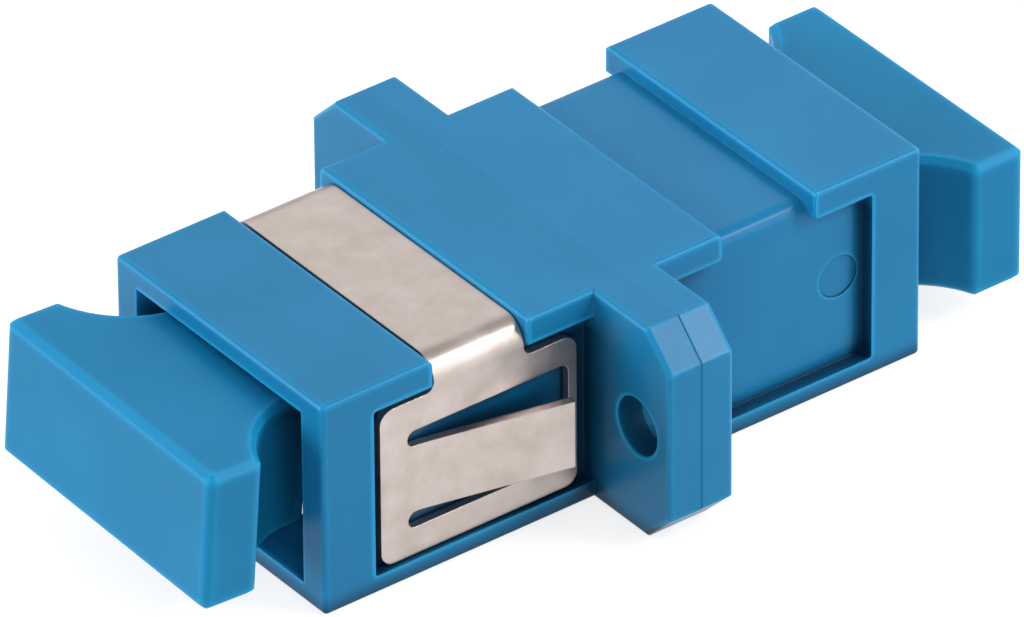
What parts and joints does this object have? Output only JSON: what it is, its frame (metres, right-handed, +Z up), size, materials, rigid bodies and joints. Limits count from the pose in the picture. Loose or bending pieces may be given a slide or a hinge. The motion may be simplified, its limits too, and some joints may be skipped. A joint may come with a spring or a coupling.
{
  "type": "flanged sc fibre adapter",
  "caption": "Flanged panel adapter that joins two SC fibre plugs end to end, with a sprung panel clip and a plug-in dust cap in each port.",
  "frame": {"origin": "on the underside, midway along and across the adapter, where the welded seam between the two housing halves meets it", "axes": "+X along the ports from the clip's half towards the other half, +Y across the flange, +Z up through the groove that takes the clip"},
  "size_m": [0.0384, 0.022, 0.0093],
  "materials": {
    "housing_plastic": "satin",
    "cap_plastic": "satin",
    "latch_plastic": "satin",
    "clip_steel": "rolled",
    "sleeve_ceramic": "ground"
  },
  "bodies": {
    "housing": {"front_housing": "housing_plastic", "rear_housing": "housing_plastic", "mounting_clip": "clip_steel", "front_latch_holder": "latch_plastic", "rear_latch_holder": "latch_plastic", "split_sleeve": "sleeve_ceramic"},
    "front_cap": {"front_dust_cap": "cap_plastic"},
    "rear_cap": {"rear_dust_cap": "cap_plastic"}
  },
  "joints": [
    {"name": "front_cap_pull", "type": "slide", "parent": "housing", "child": "front_cap", "axis": [-1, 0, 0], "range_m": [0, 0.02]},
    {"name": "rear_cap_pull", "type": "slide", "parent": "housing", "child": "rear_cap", "axis": [1, 0, 0], "range_m": [0, 0.02]}
  ]
}
